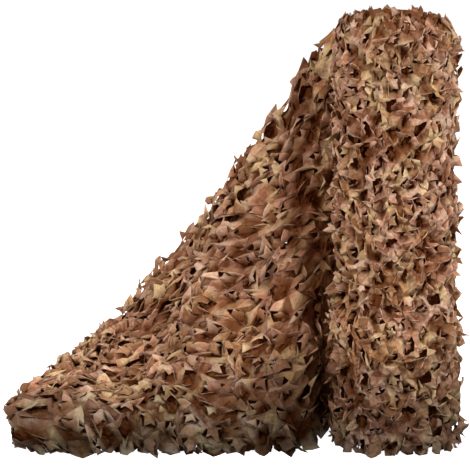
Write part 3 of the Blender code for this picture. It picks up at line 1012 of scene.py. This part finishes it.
@dataclass(frozen=True)
class PrintedCloth:
    """Finish of the printed cloth: three inks, with painted shade where it lies deep, at the foot
    and in the nook, and cut edges paler, partly frayed and partly a painted highlight.
    """
    name: str
    sand: Ink = (0.52, 0.358, 0.212)
    clay: Ink = (0.45, 0.242, 0.128)
    bark: Ink = (0.30, 0.130, 0.052)
    olive: Ink = (0.98, 1.02, 0.88)   # the two tinges that multiply the inks
    rose: Ink = (1.02, 0.975, 1.12)
    blotch: float = 10.0      # scale of the print's noise
    leaf_light: tuple[float, float] = (0.72, 1.20)    # factors for the darkest and palest leaf
    roughness: float = 0.70
    specular: float = 0.26
    # paler cut edges: partly fraying, partly a painted highlight on the lit lips
    fray_and_highlight: Ink = (0.80, 0.56, 0.41)
    pale_edge_start: float = 0.70  # share of the way to a cut edge where it starts to pale
    # painted shade: cloth that lies deep blends towards this ink
    hollow: Ink = (0.140, 0.046, 0.015)
    proud: float = 0.007      # cloth at this lift gets no painted shade, and at the deep one the full hollow ink
    deep: float = -0.0165
    foot_shade: Ink = (0.27, 0.285, 0.285)  # painted shade at the foot: multiplies the colour there
    foot_shade_height: float = 0.42
    nook: Ink = (0.36, 0.275, 0.205)  # painted shade: multiplies it where the cloth is shut in
    crease_scale: float = 48.0
    crease_height: float = 0.014

    LEAF_SHARE = 0.26         # weight of a leaf's own tone in the print
    THREADS = 320.0
    CLOUD = 90.0
    CLOUD_RANGE = (0.35, 0.65)
    CLOUD_SHADE = (0.82, 1.12)
    PALE_EDGE_SHARE = 0.50
    THREAD_HEIGHT = 0.0006
    FOOT_SHADE_FULL = 0.02          # below this height the painted foot shade counts in full

    def build(self, blotches: bpy.types.NodeTree, weave: bpy.types.NodeTree,
              crumple: bpy.types.NodeTree) -> bpy.types.Material:
        """Material that reads the flat cloth's UV map and its attributes.

        Args:
            blotches: The print's node group.
            weave: The weave's node group.
            crumple: The creases' node group.

        Returns:
            The material.
        """
        material = bpy.data.materials.new(self.name)
        material.use_nodes = True
        tree = material.node_tree
        shader = tree.nodes["Principled BSDF"]
        shader.inputs["Roughness"].default_value = self.roughness
        place = add_node(tree, "ShaderNodeUVMap", uv_map="flat_cloth").outputs["UV"]
        tone, lift, edge, shut = [
            add_node(tree, "ShaderNodeAttribute", attribute_name=name).outputs["Fac"]
            for name in ("tone", "depth", "edge", "shut")]
        inks = add_node(tree, "ShaderNodeGroup", {
            "Place": place, "Tone": tone, "Scale": self.blotch, "Leaf Share": self.LEAF_SHARE},
            node_tree=blotches)
        threads = add_node(tree, "ShaderNodeGroup", {
            "Place": place, "Threads": self.THREADS, "Cloud": self.CLOUD}, node_tree=weave)

        colour = self.blend(tree, inks.outputs["Light"], self.clay, self.sand)
        colour = self.blend(tree, inks.outputs["Dark"], colour, self.bark)
        tinge = self.blend(tree, inks.outputs["Tinge"], self.olive, self.rose)
        shade = self.ranged(tree, threads.outputs["Shade"], self.CLOUD_RANGE, self.CLOUD_SHADE)
        leaf = self.ranged(tree, tone, (0.0, 1.0), self.leaf_light)
        for factor in (tinge, shade, leaf):
            colour = self.blend(tree, 1.0, colour, factor, "MULTIPLY")
        # Paler cut edges, partly fraying and partly a painted highlight.
        pale_edge = self.ranged(tree, edge, (self.pale_edge_start, 1.0), (0.0, self.PALE_EDGE_SHARE))
        colour = self.blend(tree, pale_edge, colour, self.fray_and_highlight)
        # Painted shade: cloth that lies deep blends towards the hollow ink.
        depth = self.ranged(tree, lift, (self.proud, self.deep), (0.0, 1.0))
        colour = self.blend(tree, depth, colour, self.hollow)
        # Painted shade, darker towards the foot.
        height = add_node(tree, "ShaderNodeSeparateXYZ", {"Vector": place}).outputs["Y"]
        foot = self.ranged(tree, height, (self.foot_shade_height, self.FOOT_SHADE_FULL), (0.0, 1.0))
        colour = self.blend(tree, foot, colour, self.foot_shade, "MULTIPLY")
        # Painted shade in the nook and the hollows.
        colour = self.blend(tree, shut, colour, self.nook, "MULTIPLY")
        tree.links.new(colour, shader.inputs["Base Color"])
        # Specular fades out with the painted shade of deep cloth.
        gloss = self.ranged(tree, depth, (0.0, 1.0), (self.specular, 0.0))
        tree.links.new(gloss, shader.inputs["Specular IOR Level"])

        creases = add_node(tree, "ShaderNodeGroup", {"Place": place, "Scale": self.crease_scale},
                           node_tree=crumple)
        coarse = add_node(tree, "ShaderNodeBump", {
            "Height": creases.outputs["Height"], "Distance": self.crease_height})
        fine = add_node(tree, "ShaderNodeBump", {
            "Height": threads.outputs["Height"], "Distance": self.THREAD_HEIGHT,
            "Normal": coarse.outputs["Normal"]})
        tree.links.new(fine.outputs["Normal"], shader.inputs["Normal"])
        return material

    @staticmethod
    def ranged(tree: bpy.types.NodeTree, value: bpy.types.NodeSocket,
               given: tuple[float, float], wanted: tuple[float, float]) -> bpy.types.NodeSocket:
        """Value that runs over the wanted range as the given one does over its own."""
        settings = dict(zip(("From Min", "From Max", "To Min", "To Max"), given + wanted))
        return add_node(tree, "ShaderNodeMapRange", {"Value": value, **settings}).outputs["Result"]

    @staticmethod
    def blend(tree: bpy.types.NodeTree, share: bpy.types.NodeSocket | float, base: Setting,
              over: Setting, way: str = "MIX") -> bpy.types.NodeSocket:
        """Mix of two colours, each an ink or a socket.

        Args:
            tree: Node tree of the material.
            share: How much of the second to take.
            base: First colour.
            over: Second colour.
            way: Blend type of the node.

        Returns:
            The mixed colour.
        """
        return add_node(tree, "ShaderNodeMix", {"Factor": share, "A": base, "B": over},
                        data_type="RGBA", blend_type=way).outputs["Result"]


# ---- the pieces ------------------------------------------------------------------------------
@dataclass
class Layer:
    """One layer of the netting, ready to be made an object."""
    name: str
    flat: FlatNet
    places: np.ndarray
    material: bpy.types.Material
    depth: float = 0.0        # added to the lift from which deep cloth gets painted shade
    cloth: float = 0.0008     # thickness
    nook_shaded: bool = False     # whether it gets painted shade in the nook and the hollows
    crease: float = math.radians(20)  # edges that bend by more are sharp

    def build(self, keep: np.ndarray | None = None) -> bpy.types.Object:
        """Mesh of the layer, with the flat place of each corner as its UV map.

        Args:
            keep: Mask of the quads to keep, or None for all.

        Returns:
            The object, linked to the scene.
        """
        keep = np.ones(len(self.flat.quads), bool) if keep is None else keep
        quads = self.flat.quads[keep]
        used, index = np.unique(quads, return_inverse=True)
        quads = index.reshape(-1, 4)
        mesh = bpy.data.meshes.new(self.name)
        mesh.vertices.add(len(used))
        mesh.vertices.foreach_set("co", self.places[used].astype(np.float32).ravel())
        mesh.loops.add(quads.size)
        mesh.loops.foreach_set("vertex_index", quads.astype(np.int32).ravel())
        mesh.polygons.add(len(quads))
        mesh.polygons.foreach_set("loop_start", np.arange(0, quads.size, 4, dtype=np.int32))
        mesh.update(calc_edges=True)
        mesh.polygons.foreach_set("use_smooth", np.ones(len(quads), dtype=bool))
        mesh.set_sharp_from_angle(angle=self.crease)
        points = self.flat.points[used]
        uv = mesh.uv_layers.new(name="flat_cloth")
        uv.data.foreach_set("uv", points[quads.ravel(), :2].astype(np.float32).ravel())
        # painted shade of the nook and the hollows
        shut = painted_nook_shade(self.places[used]) if self.nook_shaded else np.zeros(len(used))
        # depth carries the painted shade of deep cloth
        for name, domain, values in (("tone", "FACE", self.flat.tone[keep]),
                                     ("edge", "POINT", self.flat.edge[used]),
                                     ("depth", "POINT", points[:, 2] + self.depth),
                                     ("shut", "POINT", shut)):
            mark = mesh.attributes.new(name, "FLOAT", domain)
            mark.data.foreach_set("value", values.astype(np.float32))
        mesh.materials.append(self.material)
        piece = bpy.data.objects.new(self.name, mesh)
        bpy.context.scene.collection.objects.link(piece)
        solid = piece.modifiers.new("cloth thickness", "SOLIDIFY")
        solid.thickness = self.cloth
        solid.offset = 0.0
        solid.use_even_offset = False
        return piece


@dataclass
class Netting:
    """The whole strip: outer turn, loose end, the layers under them and the turns on top."""
    roll_columns: int = 28    # columns of cells in the outer turn
    steps: int = 39           # half cells across the strip
    tail_offset: float = 0.014    # from the middle of the loose end to each of its sides
    outer_inset: float = 0.021    # of the outer turn, and of the one under it
    under_inset: float = 0.043
    # Dies of the outer turn and the loose end's back; of its front, pulled wide open; of the
    # nearly shut cloth between; of the second turn; and of the inner turns' upper edges.
    pattern: SlitPattern = SlitPattern()
    wide: SlitPattern = SlitPattern(
        column=0.102, rise=0.106, honeycomb=0.016, sway=0.014, gap_long=(0.042, 0.062),
        gap_wide=(0.026, 0.045), gap_flat=(0.008, 0.019), leaf_length=(0.038, 0.070), tilt=0.017,
        tip_wide=(0.30, 0.95), tip_start=(0.25, 0.70), border_height=(0.15, 0.75),
        foot_height=(0.9, 1.9), back_curl=FOLDED_FLAT,
        curl=LeafCurl(0.6, (0.15, 0.75), (-0.5, 0.2), 0.35), seed=29)
    wide_steps: int = 29      # half cells of the wide die across the strip
    slant: float = 0.50       # the wide columns' tops lie this much further from the roll
    shut: SlitPattern = SlitPattern(
        curl=LeafCurl(0.5, (0.01, 0.09), (-0.1, 0.1), 0.06, lobes=EVEN_LOBES,
                      waist=(1.35, 1.45, 1.45, 1.30)),
        tilt=0.004, lift=0.002, gap_long=(0.004, 0.006), gap_wide=(0.002, 0.003), folded=(),
        seed=71)
    under: SlitPattern = SlitPattern(
        curl=LeafCurl(0.5, (0.03, 0.25), (-0.2, 0.3), 0.15, lobes=EVEN_LOBES), tilt=0.008,
        folded=(), seed=31)
    rim: SlitPattern = SlitPattern(
        curl=LeafCurl(0.5, (0.1, 0.6), (-0.4, 0.5), 0.3), tilt=0.004, lift=0.003,
        folded=((1, 3, 5),), seed=47)
    rim_steps: int = 2        # half cells of the last die that reach down between the turns
    top: WoundTop = WoundTop()
    cloth: PrintedCloth = PrintedCloth("printed_cloth")
    open_cloth: PrintedCloth = PrintedCloth("open_printed_cloth", crease_scale=26.0,
                                            leaf_light=(0.70, 1.38), pale_edge_start=0.84,
                                            foot_shade=(0.28, 0.365, 0.41), foot_shade_height=0.52)

    SLANT_PART = (0.60, 1.60) # heights between which the wide columns slant
    FRONT_DEPTH = -0.005      # depths at which the layers count as lying, for their painted shade
    MIDDLE_DEPTH = -0.022
    RIM_DEPTH = -0.015
    CORE_DEPTH = -0.03
    MIDDLE_OFFSET = -0.002    # from the middle of the loose end to the nearly shut cloth
    FRONT_CREASE = math.radians(9)
    RIM_LIFT = 0.6            # leaves of the tight turns keep this share of their lift
    CORE_SIDES = 96           # of the core's rings, whose heights and radii follow
    CORE_HEIGHTS = (0.001, 0.004, 0.5, 1.0, 1.38, 1.42, 1.43)
    CORE_SHARES = (0.5, 0.74, 0.74, 0.74, 0.74, 0.70, 0.3)    # of the roll's radius

    def __post_init__(self) -> None:
        """Set out the loose end, and stretch the die's cloth so that whole columns fill it."""
        self.front = LooseEnd(Face.FRONT, self.tail_offset)
        self.loose_length = self.front.length
        self.tail_columns = round(self.loose_length / self.pattern.column)
        self.stretch = self.stretched(self.pattern, self.loose_length, self.tail_columns,
                                      self.steps)
        self.start = TURN_LENGTH - self.roll_columns * self.pattern.column * self.stretch[0]

    @staticmethod
    def stretched(pattern: SlitPattern, length: float, columns: int, steps: int) -> np.ndarray:
        """Factors that bring columns to a length, and half cells to the strip's width."""
        return np.array([length / (columns * pattern.column),
                         NET_WIDTH / (0.5 * pattern.rise * steps), 1.0])

    def fitted(self, pattern: SlitPattern, length: float, steps: int, border: bool = True
               ) -> FlatNet:
        """A net of the strip's width that fills a length with whole columns.

        Args:
            pattern: The die.
            length: The length.
            steps: Number of half cells across the strip.
            border: Whether leaves fill the half cells along the selvedges.

        Returns:
            The net, stretched a little to fit.
        """
        columns = round(length / pattern.column)
        flat = pattern.cut(columns, steps, border)
        flat.points = flat.points * self.stretched(pattern, length, columns, steps)
        return flat

    def slanted(self, points: np.ndarray, length: float) -> np.ndarray:
        """Distance along the loose end for a net that is longer than it by the slant.

        The columns lean away from the roll, and close up towards the upper selvedge, which is
        longer than the middle. At a share t up the slant the distance is
        (u - slant (1 - t)) length / (length + slant t).

        Args:
            points: Flat points of the net.
            length: Length of the loose end.

        Returns:
            A distance for each point, negative for what would lie on the roll.
        """
        share = smooth_step(*self.SLANT_PART, points[:, 1])
        start = points[:, 0] - self.slant * (1.0 - share)
        return start * length / (length + self.slant * share)

    def build(self) -> dict[str, bpy.types.Object]:
        """Make every piece of the netting.

        Returns:
            The pieces by name.
        """
        groups = PrintGroup.build(), WeaveGroup.build(), CrumpleGroup.build()
        material, open_material = self.cloth.build(*groups), self.open_cloth.build(*groups)
        pieces = [*self.outer_net(material), self.front_layer(open_material),
                  self.middle_layer(material), self.second_turn(material),
                  self.top_turns(material), self.core(material)]
        return {piece.name: piece for piece in pieces}

    def outer_net(self, material: bpy.types.Material) -> list[bpy.types.Object]:
        """The roll's outer turn, and the loose end's back, which is the same net running on.

        Args:
            material: Their printed cloth.

        Returns:
            The two pieces, which meet along the quads where the strip leaves the roll.
        """
        flat = self.pattern.cut(self.roll_columns + self.tail_columns, self.steps)
        flat.points = flat.points * self.stretch
        along = flat.points[:, 0] + self.start
        wound = WoundSide(self.outer_inset).place(flat.points + [self.start, 0.0, 0.0])
        loose = LooseEnd(Face.BACK, self.tail_offset).place(
            flat.points + [self.start - TURN_LENGTH, 0.0, 0.0])
        places = np.where(along[:, None] <= TURN_LENGTH, wound, loose)
        on_roll = along[flat.quads].mean(axis=1) <= TURN_LENGTH
        return [Layer("net_roll_outer", flat, places, material).build(on_roll),
                Layer("net_tail_back", flat, places, material, nook_shaded=True).build(~on_roll)]

    def front_layer(self, material: bpy.types.Material) -> bpy.types.Object:
        """The loose end's front: cloth pulled wide open, with slanting columns.

        Args:
            material: Its printed cloth.

        Returns:
            The piece.
        """
        flat = self.fitted(self.wide, self.loose_length + self.slant, self.wide_steps)
        along = self.slanted(flat.points, self.loose_length)
        places = self.front.place(np.column_stack([along, flat.points[:, 1:]]))
        on_sheet = along[flat.quads].mean(axis=1) >= 0.0
        return Layer("net_tail_front", flat, places, material, self.FRONT_DEPTH, nook_shaded=True,
                     crease=self.FRONT_CREASE).build(on_sheet)

    def middle_layer(self, material: bpy.types.Material) -> bpy.types.Object:
        """Nearly shut cloth between the loose end's front and back, painted in full shade through
        its depth.

        Args:
            material: Its printed cloth.

        Returns:
            The piece.
        """
        flat = self.fitted(self.shut, self.loose_length, self.steps, border=False)
        places = LooseEnd(Face.FRONT, self.MIDDLE_OFFSET).place(flat.points)
        return Layer("net_tail_middle", flat, places, material, self.MIDDLE_DEPTH,
                     nook_shaded=True).build()

    def second_turn(self, material: bpy.types.Material) -> bpy.types.Object:
        """The turn under the outer one, seen through its gaps, painted in shade through its depth.

        Args:
            material: Its printed cloth.

        Returns:
            The piece.
        """
        flat = self.under.cut(self.roll_columns, self.steps, border=False)
        flat.points = flat.points * self.stretch
        places = WoundSide(self.under_inset).place(flat.points + [self.start, 0.0, 0.0])
        return Layer("net_roll_second", flat, places, material, -self.under_inset).build()

    def top_turns(self, material: bpy.types.Material) -> bpy.types.Object:
        """Upper edges of the inner turns, painted partly in shade through their depth.

        Args:
            material: Its printed cloth.

        Returns:
            The piece.
        """
        columns = round(self.top.length() / self.pattern.column)
        flat = self.rim.cut(columns, self.rim_steps)
        flat.points = (flat.points * [1.0, 1.0, self.RIM_LIFT]
                       + [0.0, NET_WIDTH - self.top.depth, 0.0])
        return Layer("net_roll_top", flat, self.top.place(flat.points), material,
                     self.RIM_DEPTH).build()

    def core(self, material: bpy.types.Material) -> bpy.types.Object:
        """Wound body under the outer layers: a closed stack of rings, painted in full shade through
        its depth.

        Args:
            material: Its printed cloth.

        Returns:
            The piece.
        """
        angle = LEAVE_ANGLE + 2 * math.pi * np.linspace(0.0, 1.0, self.CORE_SIDES, endpoint=False)
        heights = np.array(self.CORE_HEIGHTS)[:, None]
        radius = np.array(self.CORE_SHARES)[:, None] * TURN_RADIUS
        ring = np.stack(np.broadcast_arrays(radius * np.cos(angle) + LEAN * heights,
                                            radius * np.sin(angle), heights), -1)
        count, columns = ring.shape[:2]
        index = np.arange(count * columns).reshape(count, columns)
        quads = np.stack([index[:-1], np.roll(index[:-1], -1, 1), np.roll(index[1:], -1, 1),
                          index[1:]], -1).reshape(-1, 4)
        mesh = bpy.data.meshes.new("net_roll_core")
        faces = quads.tolist() + [index[0][::-1].tolist(), index[-1].tolist()]
        mesh.from_pydata(ring.reshape(-1, 3).tolist(), [], faces)
        mesh.materials.append(material)
        mark = mesh.attributes.new("depth", "FLOAT", "POINT")
        mark.data.foreach_set("value",
                              np.full(len(mesh.vertices), self.CORE_DEPTH, dtype=np.float32))
        core = bpy.data.objects.new("net_roll_core", mesh)
        bpy.context.scene.collection.objects.link(core)
        return core


# ---- floor, light and camera -----------------------------------------------------------------
Point = tuple[float, float, float]
WHITE: Ink = (1.0, 1.0, 1.0)
COOL: Ink = (0.90, 0.94, 1.0)


@dataclass(frozen=True)
class Lamp:
    """Square soft light."""
    name: str
    place: Point
    size: float
    power: float
    colour: Ink = WHITE

    def build(self, aim: Point) -> None:
        """Set the light at its place.

        Args:
            aim: Point that it is turned to.
        """
        data = bpy.data.lights.new(self.name, "AREA")
        data.size = self.size
        data.energy = self.power
        data.color = self.colour
        light = bpy.data.objects.new(self.name, data)
        light.location = self.place
        direction = Vector(aim) - Vector(self.place)
        light.rotation_euler = direction.to_track_quat("-Z", "Y").to_euler()
        bpy.context.scene.collection.objects.link(light)


@dataclass
class Studio:
    """Pale floor, soft light from above, and the camera."""
    camera: Point = (-0.563, -6.0, 1.47)
    camera_down: float = math.radians(6.98)
    camera_far: float = 200.0
    focal_pixels: float = 1732.0      # focal length, for a picture of this many pixels across
    picture: float = 470.0
    sensor: float = 36.0      # width of the sensor in millimetres
    sky: float = 0.46         # strength overhead, and below the horizon
    ground: float = 0.03
    horizon: tuple[float, float] = (-0.05, 0.6)
    backdrop: float = 1.05    # strength that the camera sees
    warmth: Ink = (1.0, 0.71, 0.51)
    aim: Point = (-0.45, 0.1, 0.7)
    lamps: tuple[Lamp, ...] = (
        Lamp("right_light", (3.0, -3.2, 2.65), 0.8, 220.0, COOL),
        Lamp("left_light", (-3.95, -3.1, 2.75), 0.8, 209.0, COOL),
        Lamp("back_light", (-3.6, 2.2, 3.2), 2.5, 80.0),
        Lamp("fill_light", (-0.6, -5.4, 1.3), 2.0, 68.0, (1.0, 0.58, 0.34)),
    )
    floor_reach: float = 60.0
    floor_colour: Ink = (0.93, 0.93, 0.93)
    floor_roughness: float = 0.95

    def build(self) -> None:
        """Floor, world, lights and camera."""
        self.floor()
        self.world()
        for lamp in self.lamps:
            lamp.build(self.aim)
        data = bpy.data.cameras.new("camera")
        data.sensor_width = self.sensor
        data.lens = self.focal_pixels * self.sensor / self.picture
        data.clip_end = self.camera_far
        eye = bpy.data.objects.new("camera", data)
        eye.location = self.camera
        eye.rotation_euler = (math.pi / 2 - self.camera_down, 0.0, 0.0)
        bpy.context.scene.collection.objects.link(eye)
        bpy.context.scene.camera = eye
        bpy.context.scene.view_settings.view_transform = "Standard"

    def floor(self) -> None:
        """Wide white floor, which throws no light back onto the netting."""
        mesh = bpy.data.meshes.new("floor")
        size = self.floor_reach
        mesh.from_pydata([(-size, -size, 0), (size, -size, 0), (size, size, 0), (-size, size, 0)],
                         [], [(0, 1, 2, 3)])
        material = bpy.data.materials.new("pale_floor")
        material.use_nodes = True
        shader = material.node_tree.nodes["Principled BSDF"]
        for name, value in (("Base Color", (*self.floor_colour, 1.0)),
                            ("Roughness", self.floor_roughness), ("Specular IOR Level", 0.0),
                            ("Emission Color", (*WHITE, 1.0)), ("Emission Strength", 1.0)):
            shader.inputs[name].default_value = value
        mesh.materials.append(material)
        floor = bpy.data.objects.new("floor", mesh)
        floor.visible_diffuse = False
        bpy.context.scene.collection.objects.link(floor)

    def world(self) -> None:
        """White to the camera; as a light, warm, bright overhead and dim below the horizon."""
        world = bpy.data.worlds.new("studio")
        world.use_nodes = True
        tree = world.node_tree
        place = add_node(tree, "ShaderNodeTexCoord")
        split = add_node(tree, "ShaderNodeSeparateXYZ", {"Vector": place.outputs["Generated"]})
        height = add_node(tree, "ShaderNodeMapRange", {
            "Value": split.outputs["Z"], "From Min": self.horizon[0], "From Max": self.horizon[1],
            "To Min": self.ground, "To Max": self.sky})
        seen = add_node(tree, "ShaderNodeLightPath").outputs["Is Camera Ray"]
        strength = add_node(tree, "ShaderNodeMix", {
            "Factor": seen, "A": height.outputs["Result"], "B": self.backdrop})
        tint = add_node(tree, "ShaderNodeMix", {"Factor": seen, "A": self.warmth, "B": WHITE},
                        data_type="RGBA")
        background = tree.nodes["Background"]
        tree.links.new(strength.outputs["Result"], background.inputs["Strength"])
        tree.links.new(tint.outputs["Result"], background.inputs["Color"])
        bpy.context.scene.world = world


def main() -> None:
    """Build the netting and the studio, and report each piece."""
    logging.basicConfig(level=logging.INFO, format="%(name)s: %(message)s")
    Studio().build()
    netting = Netting()
    for name, piece in netting.build().items():
        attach(piece, "root")
        on_roll = name.startswith("net_roll")
        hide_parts("net_roll" if on_roll else "net_tail")
        LOG.info("%s: %d faces", name, len(piece.data.polygons))


if __name__ == "__main__":
    main()
